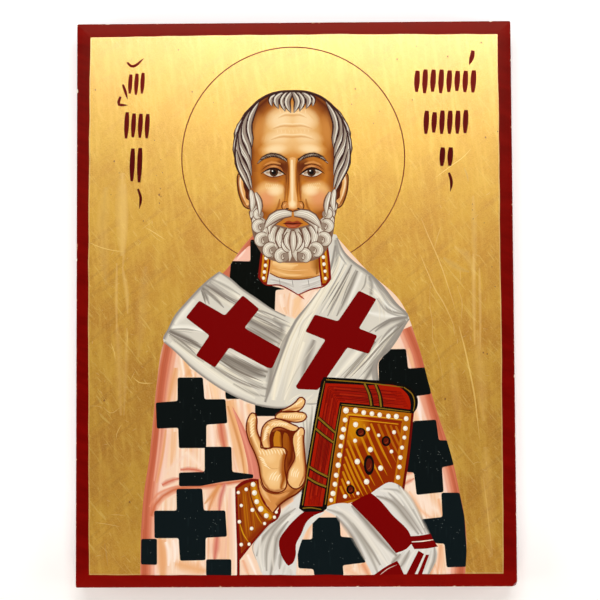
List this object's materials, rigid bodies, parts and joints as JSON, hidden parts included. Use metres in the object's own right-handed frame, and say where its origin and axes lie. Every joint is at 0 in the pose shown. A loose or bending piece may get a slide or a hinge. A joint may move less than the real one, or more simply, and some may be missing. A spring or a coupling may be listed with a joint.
{
  "type": "painted icon panel",
  "caption": "Rectangular wooden panel with a gilded ground, a red painted margin and a painted half-length bishop figure, lying face up.",
  "frame": {"origin": "middle of the back face, which the panel lies on", "axes": "+X to the picture's right, +Y to the picture's top, +Z out of the painted face"},
  "size_m": [0.24, 0.31, 0.02],
  "materials": {
    "painted_wood": "gessoed board with satin dark red paint on its margin and sides, burnished gold leaf and tempera on its face, and bare wood behind"
  },
  "bodies": {
    "root": {"painted_board": "painted_wood"}
  },
  "joints": []
}
